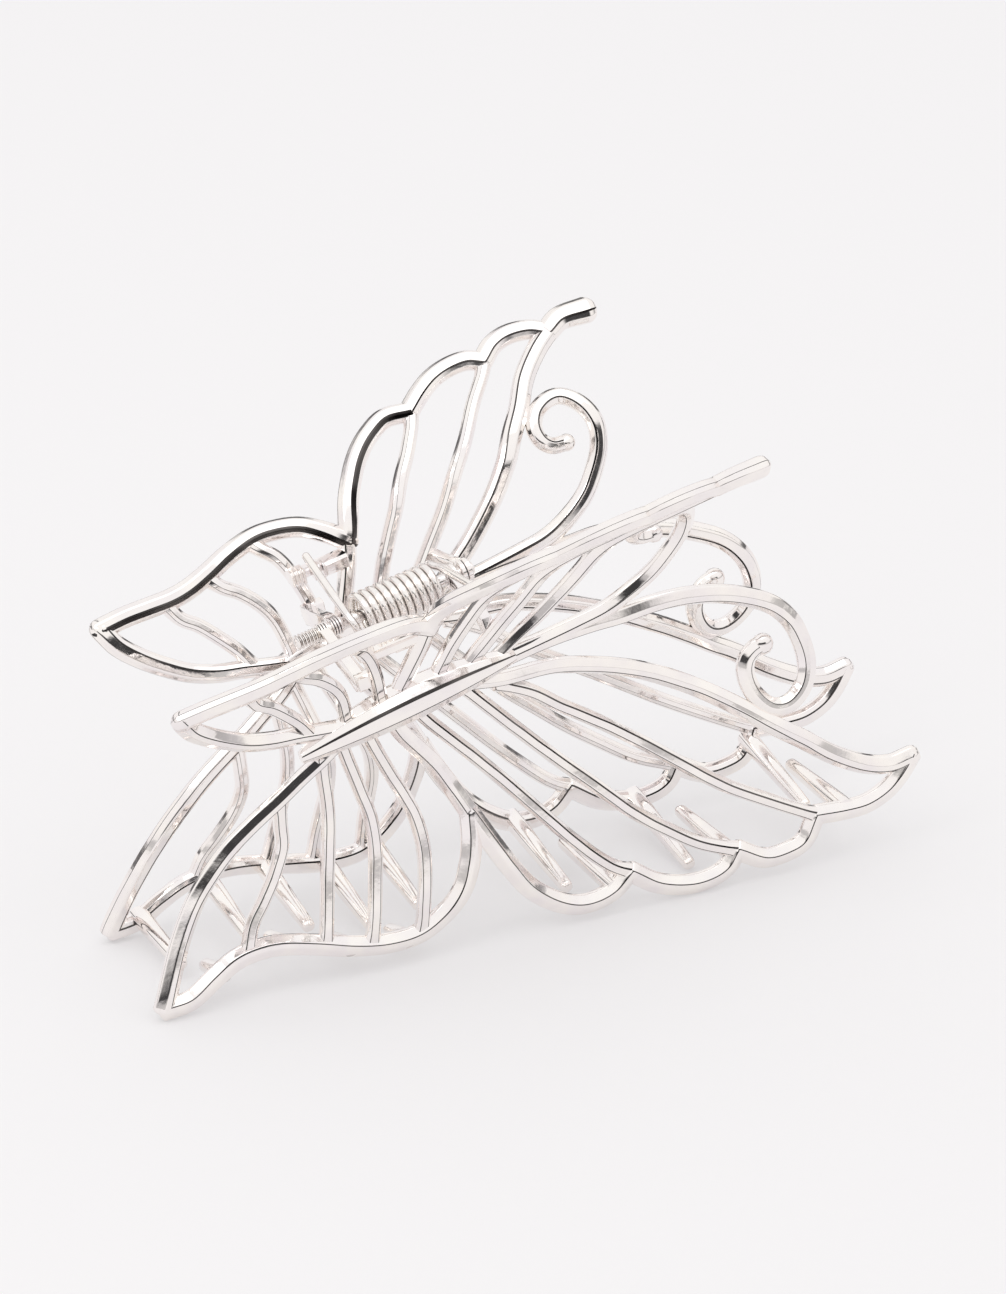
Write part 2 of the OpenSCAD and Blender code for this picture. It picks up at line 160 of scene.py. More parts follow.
def rounded(corners, steps=4):
    """Closed section with rounded corners, and the numbers of its lined sides, which carry painted dark reflection
    lines.

    A corner is (u, v, radius). One more value lines that many sides before and after its middle; two more values
    give the number before and the number after.
    """
    loop, lined = [], []
    for i, corner in enumerate(corners):
        before, at, after = (np.array(corners[j % len(corners)][:2]) for j in (i - 1, i, i + 1))
        back, ahead = np.linalg.norm(before - at), np.linalg.norm(after - at)
        u, w = (before - at) / back, (after - at) / ahead
        angle = math.acos(float(np.clip(u @ w, -1, 1)))
        cut = min(corner[2] / math.tan(angle / 2), LONGEST_CUT * back, LONGEST_CUT * ahead)
        start, end = at + u * cut, at + w * cut
        if len(corner) > 3:
            middle = len(loop) + steps // 2
            lined += range(middle - corner[3], middle + corner[-1])
        loop += [(1 - t) ** 2 * start + 2 * t * (1 - t) * at + t * t * end for t in np.linspace(0, 1, steps + 1)]
        if ahead > LONG_SIDE:
            loop += [at + (after - at) * min(0.3, (cut + 0.05) / ahead), at + (after - at) * 0.75]
    return np.array(loop), lined


# wire sections, unit size: u across the surface with the panel side at +u, v outward
def rim_section(*band):
    """Rim with a ridge on its outer face, the ridge and two lower corners lined with painted dark reflection; band
    says how many sides of its inner corner are lined.
    """
    return rounded([(0.5, -0.1, 0.12), (0.5, 0.08, 0.1), (0.18, 0.5, 0.12, 1), (-0.1, 0.5, 0.14),
                    (-0.5, 0.2, 0.12), (-0.5, -0.12, 0.12, 1), (-0.27, -0.5, 0.2), (0.2, -0.5, 0.13, *band),
                    (0.4, -0.34, 0.1)])


def vein_section(ridge):
    """Flat-topped vein with painted dark reflection lines along its edges; ridge is the radius and the lined sides
    of its panel-side edge.
    """
    return rounded([(0.5, -0.1, 0.1), (0.5, 0.16, 0.1), (0.24, 0.5, *ridge), (-0.3, 0.5, 0.12, 1),
                    (-0.5, 0.2, 0.1), (-0.5, -0.1, 0.1), (-0.34, -0.42, 0.1, 1), (-0.1, -0.52, 0.1, 1),
                    (0.27, -0.48, 0.18)])


# the broad sections paint wider bands of dark reflection, on the rim's inner corner and along the vein's panel-side
# edge
RIM, RIM_BROAD_PAINTED_DARK = rim_section(2), rim_section(3, 4)
VEIN, VEIN_BROAD_PAINTED_DARK = vein_section((0.12, 1)), vein_section((0.14, 2))
# the bar's upper facet and two of the antenna's edges are lined with painted dark reflection
BAR = rounded([(0.5, -0.25, 0.1), (0.47, 0.06, 0.1), (0.3, 0.36, 0.07, 3, 1), (-0.02, 0.5, 0.07, 1),
               (-0.36, 0.38, 0.16), (-0.5, 0.02, 0.2), (-0.36, -0.4, 0.2), (0.3, -0.5, 0.2)])
ANTENNA = rounded([(0.5, -0.1, 0.2), (0.5, 0.12, 0.14), (0.2, 0.5, 0.1, 1), (-0.1, 0.5, 0.18), (-0.5, 0.16, 0.2),
                   (-0.5, -0.12, 0.2), (-0.25, -0.5, 0.28), (0.25, -0.5, 0.2, 1)])


def tube(points, across, through, section, widths, depths, lined=()):
    """Closed tube: rings of the section laid across each point. Returns its vertices, faces and lined faces, the
    ones that get the painted dark reflection and shade.
    """
    rings = [p + np.outer(section[:, 0] * w, b) + np.outer(section[:, 1] * d, n)
             for p, b, n, w, d in zip(points, across, through, widths, depths)]
    m, k = len(rings), len(section)
    faces = [[(i + 1) * k + j, (i + 1) * k + (j + 1) % k, i * k + (j + 1) % k, i * k + j]
             for i in range(m - 1) for j in range(k)]
    faces += [list(range(k)), [(m - 1) * k + j for j in range(k - 1, -1, -1)]]
    lines = {i * k + j for i in range(m - 1) for j in lined}
    return np.vstack(rings), faces, lines


# a rounded end as (distance past the end, share of the width) steps, and how far a widened end reaches in mm
DOME = [(0.0, 1.0), (0.3, 0.955), (0.55, 0.84), (0.76, 0.65), (0.9, 0.44), (0.975, 0.22), (1.0, 0.06)]
FLARE_LENGTH = 1.1


def wire(route, width, depth, ends=(1, 1), section=VEIN, side=1, domes=(0.35, 0.35), flare=(0, 0)):
    """Wire laid on the wing surface along [x, z] route points, with rounded ends.

    ends are shares of the width at the two ends, domes the lengths of the rounded ends in widths, and flare how
    much wider the very ends are. side -1 turns the section over.
    """
    q = smooth(route)
    p = np.column_stack([q[:, 0], out(q[:, 1]), q[:, 1]])
    t = np.gradient(p, axis=0)
    t /= np.linalg.norm(t, axis=1)[:, None]
    normal = np.column_stack([np.zeros(len(p)), np.ones(len(p)), -np.interp(p[:, 2], surface_z, surface_slope)])
    normal /= np.linalg.norm(normal, axis=1)[:, None]
    across = np.cross(t, normal)
    across /= np.linalg.norm(across, axis=1)[:, None]
    through = np.cross(across, t)
    run = np.concatenate([[0], np.cumsum(np.linalg.norm(np.diff(p, axis=0), axis=1))])
    share = ends[0] + (ends[1] - ends[0]) * run / run[-1]
    widths = width * share * (1 + flare[0] * np.exp(-(run / FLARE_LENGTH) ** 2)
                              + flare[1] * np.exp(-((run[-1] - run) / FLARE_LENGTH) ** 2))
    depths = depth * (0.4 + 0.6 * share)
    lead, tail = domes[0] * widths[0], domes[1] * widths[-1]
    first = [(p[0] - t[0] * lead * a, across[0], through[0], widths[0] * c, depths[0] * c) for a, c in DOME[:0:-1]]
    last = [(p[-1] + t[-1] * tail * a, across[-1], through[-1], widths[-1] * c, depths[-1] * c) for a, c in DOME[1:]]
    rows = first + list(zip(p, across, through, widths, depths)) + last
    points, u, v, widths, depths = (np.array([row[i] for row in rows]) for i in range(5))
    return tube(points, u * side, v, section[0], widths, depths, section[1])


def rim(route, side, ends=(1, 1), domes=(0.35, 0.35), section=RIM):
    """Wire of the wing's outline."""
    return wire(route, RIM_WIDTH, RIM_DEPTH, ends, section, side, domes)


def vein(route, ends=(1, 1), section=VEIN):
    """Wire across a wing, a little wider where it meets the rim."""
    return wire(route, VEIN_WIDTH, VEIN_DEPTH, ends, section, 1, (0.1, 0.1), (0.3, 0.25))


# ---------------------------------------------------------------- outline routes, [x along the hinge, z above it]
small_up = [[-44.2, 4.5], [-41, 4.6], [-38, 4.5], [-35, 4.4], [-32.5, 4.6], [-29.5, 5.2],
    [-26.5, 5.9], [-23, 6.4], [-20, 6.3], [-17, 5.7], [-14.5, 4.4], [-12.3, 2.7]]
small_down = [[-44.2, 4.5], [-43, 2.1], [-41, -0.1], [-38.5, -2.2], [-36, -3.9], [-33, -5.2],
    [-30, -6], [-27, -6.9], [-24, -7.7], [-21, -8.4]]
small_trail = [[-12.3, 2.7], [-13.4, 0], [-15, -3], [-16.2, -5.2], [-17.5, -8.4]]
small_veins = [
    [[-35.8, 4.4], [-34.8, 2.2], [-33, 0.6], [-31.2, -1.6], [-29.5, -4], [-28.3, -6.6]],
    [[-30, 5.1], [-28.7, 3.5], [-26.8, 2], [-25, -0.2], [-24, -2.4], [-23.6, -5], [-23.4, -7.8]],
    [[-23.4, 6.4], [-22.6, 5.4], [-21.2, 4.1], [-20.3, 2.3], [-19.7, 0.3], [-19.3, -1.8],
     [-19, -4.6], [-18.8, -8.4]]]
large_scallops = [
    [[-12.3, 2.5], [-10.4, 5.7], [-8.2, 7.7], [-6, 9.1], [-3.6, 10.1], [-1, 10.7], [2, 10.4]],
    [[2, 10.4], [4.4, 11.4], [6.7, 12.1], [9.2, 12.4], [11.5, 12.3], [13.2, 11.7]],
    [[13.2, 11.7], [15.3, 12.6], [17.6, 12.9], [20.2, 12.6], [22.2, 11.8]],
    [[22.2, 11.8], [24.5, 12.4], [27.8, 12.2]]]
large_lead = [[22.6, 11.9], [19.7, 10.8], [16.6, 9.2], [14.1, 7.3], [11.5, 5.4], [9.3, 3.1],
    [7.2, 1], [4.7, -1.1], [1.9, -3.2], [-0.3, -4.6], [-4, -7]]
large_veins = [
    [[2, 10.4], [1.4, 9.4], [-0.7, 7.7], [-3.5, 5.6], [-5.8, 2.9], [-8.2, -0.2], [-9.8, -2.6],
     [-12.6, -7.8]],
    [[13.2, 11.7], [12.2, 10.7], [9.3, 8.9], [6.5, 6.9], [3.1, 4.4], [0.2, 1.3], [-2.8, -1.6],
     [-6, -4.8], [-9, -7.6]]]
lever_curl = [[-5, -7.6], [-1, -7.4], [3, -7.2], [7.4, -6.9], [11, -6.5], [14.2, -5.4],
    [17.4, -3.6], [19.8, -1.2], [21.3, 1], [21.9, 3.2], [21.6, 5], [20.6, 6.3], [19.2, 7],
    [17.4, 7], [15.6, 6.4], [14.6, 5.3], [14.7, 4], [15.8, 3], [17.6, 2.7]]
jaw_lead = [[-24.5, -9.4], [-27, -11], [-30, -12.5], [-33, -14.1], [-37, -16], [-40.5, -18],
    [-44, -20.6], [-47, -23.4], [-49.8, -26.8], [-52, -30], [-54, -33.2]]
jaw_low = [[-54, -33.2], [-50.5, -33.4], [-47, -32], [-44, -31], [-41, -30.9], [-38, -31.5],
    [-34.4, -33], [-30, -35.2], [-25.5, -37], [-21.3, -37.6], [-17.8, -36.5], [-14.9, -34.4],
    [-13, -31.5], [-11.8, -28.8], [-11, -25.8]]
jaw_trail = [[-18, -8.6], [-16.9, -12], [-13.9, -17.6], [-12.2, -22.2], [-11, -26]]
jaw_small_veins = [
    [[-33.4, -14.2], [-33.8, -17.5], [-34.3, -20.4], [-36, -23.2], [-38.4, -25.8], [-40.7, -28],
     [-42.3, -31]],
    [[-27.2, -10.6], [-27.4, -13], [-27.7, -18], [-28.6, -22], [-30.4, -27], [-32.8, -33.6]],
    [[-24.6, -9.2], [-24.2, -12], [-23.3, -17.7], [-22.9, -21.6], [-23.5, -25.5], [-24.8, -29.2],
     [-27.2, -36]],
    [[-21.4, -9], [-20.6, -12.2], [-19.4, -16.4], [-18.2, -20.5], [-17.6, -23.5], [-17.7, -27],
     [-18.5, -30.2], [-19.7, -33.8], [-20.8, -37.4]]]
jaw_scallops = [
    [[-11, -25.8], [-9.6, -30], [-8.2, -33.8], [-6.3, -37.8], [-3.7, -41], [-1, -43],
     [1.7, -43.7], [4.4, -43.3], [6.8, -41.7]],
    [[6.8, -41.7], [10, -45], [13.8, -47], [17, -47.5], [19.4, -46.9], [21, -45.2]],
    [[21, -45.2], [24.2, -47.9], [27.4, -48.5], [30, -47.9], [32, -45.1]],
    [[32, -45.1], [35.6, -46.1], [38.8, -46.6], [41.7, -46], [43.9, -44.6], [45.9, -42.5]]]
jaw_large_lead = [[-9, -8.4], [-3.4, -10.4], [3, -11.6], [8.2, -13.8], [13, -16.5], [17, -19.4],
    [21.5, -23.2], [25.6, -27.2], [28.7, -30.5], [32, -33.8], [35.4, -37.5], [39.3, -40.8],
    [42.6, -42.4], [45.6, -42.5]]
jaw_large_veins = [
    [[-4, -10.6], [0.1, -13.8], [3.6, -17.6], [8.1, -22], [12.2, -26.2], [15, -29.2],
     [20.5, -35], [26.6, -40.5], [32, -45.1]],
    [[-8.6, -8.6], [-6.3, -12.3], [-2.5, -18.2], [1, -23.4], [4.6, -28.3], [8.3, -33.3],
     [12, -37.5], [16.1, -41.7], [21, -45.2]],
    [[-15, -8.6], [-13.2, -12], [-9.2, -18.3], [-5.5, -24.3], [-2.1, -30], [0.8, -34.6],
     [4.1, -39.2], [6.8, -41.7]]]
jaw_curl = [[-6, -7.8], [-3, -7.5], [1, -7.3], [4.8, -7.4], [9, -7.8], [12.8, -8.4],
    [17, -8.7], [21, -9.5], [25.5, -11.2], [29.3, -13.4], [32.5, -16], [34.5, -19],
    [35.3, -22], [35.3, -24.8], [34.4, -27], [32.8, -28.4], [30.9, -28.9], [29, -28.2],
    [27.7, -26.2], [27.3, -23.8], [27.9, -21.9], [29.2, -20.9], [30.4, -20.8]]
# teeth of each half: length and drop of the short ones, roots of the short and long ones, drop of the long ones
TEETH = {
    1: (13, 13, [[-41, -30.9], [-33.5, -33.4], [-26, -36.8], [-19.5, -37.2]],
        [[-50, -32.8], [-1.5, -42.2], [14.5, -46.6], [31, -46]], 12),
    -1: (6.5, 18, [[-46, -31.7], [-37.5, -31.6], [-30, -35.2], [-22.8, -37.4]],
         [[4.5, -42.9], [20.4, -45.6], [36, -45.8]], 4)}


# ---------------------------------------------------------------- other parts
def ball(centre, radius, squash=(1, 1, 1), n=18):
    """Closed sphere of rings about z."""
    rows = n // 2
    verts = []
    for i in range(rows + 1):
        a = math.pi * (i + 0.02) / (n / 2 + 0.04)
        for j in range(n):
            b = 2 * math.pi * j / n
            verts.append([centre[0] + radius * squash[0] * math.sin(a) * math.cos(b),
                          centre[1] + radius * squash[1] * math.sin(a) * math.sin(b),
                          centre[2] + radius * squash[2] * math.cos(a)])
    faces = [[i * n + j, (i + 1) * n + j, (i + 1) * n + (j + 1) % n, i * n + (j + 1) % n]
             for i in range(rows) for j in range(n)]
    faces += [list(range(n)), [rows * n + j for j in range(n - 1, -1, -1)]]
    return np.array(verts), faces, set()


def tooth(at, length, drop):
    """Tapered tooth from the jaw margin inward, falling by drop degrees, with a blunt tip."""
    start = np.array([at[0], out(at[1]) + 0.4, at[1]])
    a = math.radians(drop)
    along, up = np.array([0, -math.cos(a), -math.sin(a)]), np.array([0, -math.sin(a), math.cos(a)])
    ring = np.array([[math.copysign(abs(c) ** 0.8, c) for c in point] for point in circle(26)])
    spots = [(s, TOOTH_ROOT - TOOTH_TAPER * s - 0.12 * math.exp(-s * 9)) for s in np.linspace(0, TOOTH_TIP, 14)]
    blunt = ((0.35, 0.97), (0.7, 0.86), (0.9, 0.7), (1.0, 0.45))
    spots += [(TOOTH_TIP + 0.045 * a, TIP_RADIUS * c) for a, c in blunt]
    points = np.array([start + along * length * s for s, _ in spots])
    radii = np.array([r for _, r in spots])
    m = len(points)
    return tube(points, np.tile([1.0, 0, 0], (m, 1)), np.tile(up, (m, 1)), ring, radii, radii * 0.96)


def circle(n):
    """Points of a unit circle."""
    return np.array([[math.cos(a), math.sin(a)] for a in 2 * math.pi * np.arange(n) / n])


def lathe(profile, section):
    """Turned part along x from (x, radius) points."""
    x, r = np.array(profile, float).T
    m = len(x)
    points = np.column_stack([x, np.zeros(m), np.zeros(m)])
    return tube(points, np.tile([0.0, 1, 0], (m, 1)), np.tile([0.0, 0, 1], (m, 1)), section, r, r)


def bead(x, width, outer, bore, grooves, n=48):
    """Ring about the hinge line with rounded bands on the outside and a plain bore."""
    w = width / 2
    loop = [(-w, bore), (-w, bore + 0.12), (-w, outer - 0.2), (-w + 0.05, outer - 0.08), (-w + 0.12, outer)]
    for g in grooves:
        loop += [(g - 0.13, outer), (g - 0.05, outer - 0.13), (g + 0.05, outer - 0.13), (g + 0.13, outer)]
    loop += [(w - 0.12, outer), (w - 0.05, outer - 0.08), (w, outer - 0.2), (w, bore + 0.12), (w, bore)]
    k = len(loop)
    angles = 2 * math.pi * np.arange(n) / n
    verts = [[x + px, r * math.cos(a), r * math.sin(a)] for a in angles for px, r in loop]
    faces = [[i * k + j, i * k + (j + 1) % k, ((i + 1) % n) * k + (j + 1) % k, ((i + 1) % n) * k + j]
             for i in range(n) for j in range(k)]
    # five points lead in and each groove has four; its bottom follows the second of them and is painted dark as
    # shade
    painted_shade_bottoms = {i * k + 6 + 4 * g for i in range(n) for g in range(len(grooves))}
    return np.array(verts), faces, painted_shade_bottoms


def plate(outline, x0, x1, edge=0.22):
    """Flat piece across x with rounded edges, from a (y, z) outline."""
    p = np.array(outline, float)
    n = len(p)
    before, after = p - np.roll(p, 1, 0), np.roll(p, -1, 0) - p
    before /= np.linalg.norm(before, axis=1)[:, None]
    after /= np.linalg.norm(after, axis=1)[:, None]
    turn = math.copysign(1, float((p[:, 0] * np.roll(p[:, 1], -1) - np.roll(p[:, 0], -1) * p[:, 1]).sum()))
    inward = np.column_stack([-(before + after)[:, 1], (before + after)[:, 0]]) * turn
    inward /= np.linalg.norm(inward, axis=1)[:, None]
    cosine = np.clip((before * after).sum(1), -0.5, 1)
    inward /= np.sqrt((1 + cosine) / 2)[:, None]
    steps = [(0, 1.0), (0.08, 0.55), (0.3, 0.22), (0.65, 0.04), (1.0, 0.0)]
    rings = [(x0 + edge * a, edge * b) for a, b in steps] + [(x1 - edge * a, edge * b) for a, b in steps[::-1]]
    verts = [[x, *q] for x, cut in rings for q in p + inward * cut]
    m = len(rings)
    faces = [[i * n + j, i * n + (j + 1) % n, (i + 1) * n + (j + 1) % n, (i + 1) * n + j]
             for i in range(m - 1) for j in range(n)]
    faces += [list(range(n - 1, -1, -1)), [(m - 1) * n + j for j in range(n)]]
    return np.array(verts), faces, set()


def block(centre, size, edge=0.18):
    """Box with rounded edges along its length in x and at its ends."""
    x, y, z = centre
    a, b = size[1] / 2, size[2] / 2
    c = min(a, b) * 0.35
    outline = [(y - a + c, z - b), (y + a - c, z - b), (y + a, z - b + c), (y + a, z + b - c),
               (y + a - c, z + b), (y - a + c, z + b), (y - a, z + b - c), (y - a, z - b + c)]
    return plate(outline, x - size[0] / 2, x + size[0] / 2, edge)


def round_wire(points, radii, sides=14):
    """Round wire through the points, with domed ends."""
    p = np.asarray(points, float)
    t = np.gradient(p, axis=0)
    t /= np.linalg.norm(t, axis=1)[:, None]
    u = np.cross(t[0], (1.0, 0, 0))
    u /= np.linalg.norm(u)
    across = []
    for along in t:
        u = u - along * (u @ along)
        u /= np.linalg.norm(u)
        across.append(u)
    across = np.array(across)
    through = np.cross(t, across)
    lead = [(p[0] - t[0] * radii[0] * a, across[0], through[0], radii[0] * c) for a, c in DOME[:0:-1]]
    tail = [(p[-1] + t[-1] * radii[-1] * a, across[-1], through[-1], radii[-1] * c) for a, c in DOME[1:]]
    rows = lead + list(zip(p, across, through, radii)) + tail
    points, u, v, radii = (np.array([row[i] for row in rows]) for i in range(4))
    return tube(points, u, v, circle(sides), radii, radii)


# ---------------------------------------------------------------- objects
def make_object(name, verts, faces):
    """Mesh object in the scene, in metres."""
    mesh = bpy.data.meshes.new(name)
    mesh.from_pydata([tuple(v) for v in verts], [], faces)
    mesh.update()
    obj = bpy.data.objects.new(name, mesh)
    scene.collection.objects.link(obj)
    return obj


def volume(obj):
    """Enclosed volume; below zero where the faces point inward."""
    mesh = obj.data
    mesh.calc_loop_triangles()
    v = np.array([v.co for v in mesh.vertices])
    t = np.array([tri.vertices[:] for tri in mesh.loop_triangles])
    return float(np.einsum("ij,ij->i", v[t[:, 0]], np.cross(v[t[:, 1]], v[t[:, 2]])).sum() / 6)


def solid(name, parts, place, body, nodes, material):
    """One closed piece: the union of the parts, in mm of the frame that place gives, standing for its nodes.

    It rides on the body, or on none when no body is given.
    """
    m = np.array(place)
    objs = []
    for i, (verts, faces, lines) in enumerate(parts):
        world = (np.asarray(verts) @ m[:3, :3].T + m[:3, 3]) * MM
        obj = make_object(name if i == 0 else f"{name}_{i}", world, faces)
        if volume(obj) < 0:
            obj.data.flip_normals()
        obj.data.materials.append(material)
        # lined faces take the second material, the near-black metal of the painted dark reflections and painted
        # shade
        obj.data.materials.append(painted_dark_metal)
        for face in lines:
            obj.data.polygons[face].material_index = 1
        objs.append(obj)
    base = objs[0]
    for other in objs[1:]:
        mod = base.modifiers.new("union", "BOOLEAN")
        mod.operation, mod.solver, mod.object = "UNION", "MANIFOLD", other
    if len(objs) > 1:
        graph = bpy.context.evaluated_depsgraph_get()
        mesh = bpy.data.meshes.new_from_object(base.evaluated_get(graph))
        mesh.validate()
        base.modifiers.clear()
        base.data = mesh
        for other in objs[1:]:
            bpy.data.objects.remove(other)
    base.data.name = name
    return finish_piece(base, body, nodes)


def finish_piece(obj, body, nodes):
    """Smooth shading with sharp edges kept, and what the frame needs to know about the piece."""
    for poly in obj.data.polygons:
        poly.use_smooth = True
    obj.data.set_sharp_from_angle(angle=SHARP_ANGLE)
    if body:
        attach(obj, body)
    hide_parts(*nodes)
    return obj


# ---------------------------------------------------------------- materials
def metal(name, tints, rough, wave=1.0, pits=1.0, patch=240):
    """Bright plated metal: two close tints, patchy polish, soft casting waves and fine pits.

    rough is the range of the roughness; wave and pits scale the two bumps, and patch is the scale of the tints.
    """
    mat = bpy.data.materials.new(name)
    mat.use_nodes = True
    nodes, links = mat.node_tree.nodes, mat.node_tree.links
    nodes.clear()
    output = nodes.new("ShaderNodeOutputMaterial")
    shader = nodes.new("ShaderNodeBsdfPrincipled")
    shader.inputs["Metallic"].default_value = 1.0
    links.new(shader.outputs[0], output.inputs[0])
    coord = nodes.new("ShaderNodeTexCoord")

    def noise(scale, detail, seed):
        n = nodes.new("ShaderNodeTexNoise")
        n.noise_dimensions = "4D"
        n.inputs["W"].default_value = seed
        n.inputs["Scale"].default_value = scale
        n.inputs["Detail"].default_value = detail
        links.new(coord.outputs["Object"], n.inputs["Vector"])
        return n.outputs["Fac"]

    tint = nodes.new("ShaderNodeValToRGB")
    for element, position, colour in zip(tint.color_ramp.elements, (0.35, 0.65), tints):
        element.position, element.color = position, (*colour, 1)
    links.new(noise(patch, 3, 1.7), tint.inputs["Fac"])
    links.new(tint.outputs["Color"], shader.inputs["Base Color"])

    polish = nodes.new("ShaderNodeMapRange")
    polish.inputs["From Min"].default_value, polish.inputs["From Max"].default_value = 0.35, 0.7
    polish.inputs["To Min"].default_value, polish.inputs["To Max"].default_value = rough
    links.new(noise(700, 4, 5.1), polish.inputs["Value"])
    links.new(polish.outputs["Result"], shader.inputs["Roughness"])

    normal = None
    for strength, distance, height in ((0.25 * wave, 0.00012, noise(420, 2, 2.3)),
                                       (0.25 * pits, 0.00002, noise(2600, 3, 8.4))):
        bump = nodes.new("ShaderNodeBump")
        bump.inputs["Strength"].default_value = strength
        bump.inputs["Distance"].default_value = distance
        links.new(height, bump.inputs["Height"])
        if normal:
            links.new(normal, bump.inputs["Normal"])
        normal = bump.outputs["Normal"]
    links.new(normal, shader.inputs["Normal"])
    return mat


casting = metal("plated_casting", ((0.98, 0.94, 0.9), (0.91, 0.865, 0.862)), (0.04, 0.13))
# painted dark reflections and painted shade: near-black metal laid on the lined faces, as dark lines along ridges
# and edges where the metal would mirror dark surroundings, and in groove bottoms where shade falls
painted_dark_metal = metal("painted_dark_reflection_and_shade", ((0.015, 0.013, 0.013), (0.14, 0.13, 0.125)), (0.16, 0.28), 0.6, 0.5, 110)
steel = metal("bright_wire", ((0.96, 0.92, 0.88), (0.88, 0.84, 0.83)), (0.08, 0.2), 0.4, 0.6)

# ---------------------------------------------------------------- castings
for s, side_name in ((1, "back"), (-1, "front")):
    body = side_name + "_half"
    place = half(s)

    def cast(part, parts):
        solid(f"{side_name}_{part}_cast", parts, place, body, [f"{side_name}_{part}"], casting)

    cast("lever_small_rim", [rim(small_up, -1, domes=(0.5, 0.6), section=RIM_BROAD_PAINTED_DARK),
                             rim(small_down, 1, (1, 0.8), domes=(0.5, 0.3)), rim(small_trail, -1, (0.9, 0.8)),
                             ball((-43.9, out(4.3), 4.3), 1.2, (1, 0.9, 1))])
    cast("lever_small_veins", [vein(v) for v in small_veins])
    cast("lever_large_rim", [rim(large_scallops[0], -1, domes=(0.3, 0.3), section=RIM_BROAD_PAINTED_DARK)]
         + [rim(v, -1, domes=(0.3, 0.3)) for v in large_scallops[1:3]]
         + [rim(large_scallops[3], -1, (1.1, 1.32), domes=(0.3, 0.42)),
            rim(large_lead, -1, (1, 0.95 if s > 0 else 0.62))])
    cast("lever_large_veins", [vein(v, (1, 1.1)) for v in large_veins])
    cast("lever_antenna", [wire(lever_curl, ANTENNA_WIDTH, ANTENNA_DEPTH, (1, 0.76), ANTENNA, 1, (0.3, 0.5)),
                           ball((17.6, out(2.7), 2.7), 1.1)])
    cast("jaw_small_rim", [rim(jaw_lead, 1, (0.8, 1), domes=(0.3, 0.25)), rim(jaw_low, 1, domes=(0.25, 0.3)),
                           rim(jaw_trail, -1, (0.8, 0.9)), ball((-53.4, out(-32.8), -32.8), 1.2, (1, 0.9, 1))])
    cast("jaw_small_veins", [vein(v) for v in jaw_small_veins])
    cast("jaw_large_rim", [rim(v, 1, domes=(0.32, 0.27)) for v in jaw_scallops]
         + [rim(jaw_large_lead, -1, (0.8, 1.0), domes=(0.3, 0.5)),
            ball((45.6, out(-42.7), -42.7), 1.38, (1, 0.8, 1))])
    cast("jaw_large_veins", [vein(v, section=VEIN_BROAD_PAINTED_DARK) for v in jaw_large_veins])
    cast("jaw_antenna", [wire(jaw_curl, ANTENNA_WIDTH, ANTENNA_DEPTH, (1, 0.88), ANTENNA, -1, (0.3, 0.4)),
                         ball((30.4, out(-20.8), -20.8), 1.42, (1, 0.8, 1))])
    # the tooth at the small wing's tip is as long as the short ones, and almost level
    reach, dip, short, long, drop = TEETH[s]
    cast("jaw_teeth", [tooth(p, reach, dip) for p in short]
         + [tooth(p, reach, WING_TIP_DROP) if p[0] < WING_TIP_X else tooth(p, LONG_TOOTH, drop) for p in long])

    # body bar: a pointed spindle between the wing roots
    share = np.linspace(0, 1, 61)
    m = len(share)
    start, stop = np.array([-30, out(-9.1), -9.1]), np.array([-1.6, out(-7.2), -7.2])
    swell = np.sin(math.pi * share)
    spine = (start + np.outer(share, stop - start) + np.outer(np.ones(m), [0, 0.7, 0])
             + np.outer(swell, [0, 0.35, 0.9]))
    girth = 2 * (BODY_TIP_RADIUS + (BODY_DIA / 2 - BODY_TIP_RADIUS) * swell ** 0.85)
    cast("body_bar", [tube(spine, np.tile([0.0, 0.24, 0.97], (m, 1)), np.tile([0.0, 0.97, -0.24], (m, 1)),
                           BAR[0], girth, girth, BAR[1])])

    # bar the spring leg leans on: a flat block, a low saddle under the leg, a ribbed block, and the ribs
    y = out(1.6) - 1.15
    bridge = [block((-17, y + 0.6, 1.65), (7.4, 1.6, 1.2)), block((-14.95, y, 1.45), (3.1, 1.9, 1.9)),
              block((-20.0, y, 1.95), (2.0, 1.8, 1.8))]
    bridge += [block((x, y - 0.4, 1.7 - 0.1 * (x + 17.5)), (0.3, 1.6, 2.1), 0.1)
               for x in (-20.8, -20.3, -19.8, -19.3, -17.9, -17.3, -16.7)]
    cast("spring_bridge", bridge)

    # lugs: an eye on the pin with a leaf-shaped arm out to the wing root, and a foot under the left one
    bore = PIN_RADIUS + (0 if s > 0 else PIN_CLEARANCE)
    lugs = []
    for x, radius, grooves in zip(LUG_X[s], EYE_RADII, EYE_GROOVES):
        lugs += [bead(x, LUG_WIDTH, radius, bore, grooves),
                 plate(LUG_ARM, x - LUG_WIDTH / 2 + 0.02, x + LUG_WIDTH / 2 - 0.02)]
    lugs += [block((LUG_X[s][0] + 0.8, 9.4, -2.5), (2.7, 1.4, 2.0))]
    solid(f"{side_name}_hinge_lugs_cast", lugs, axle(s), body, [f"{side_name}_hinge_lugs"], casting)

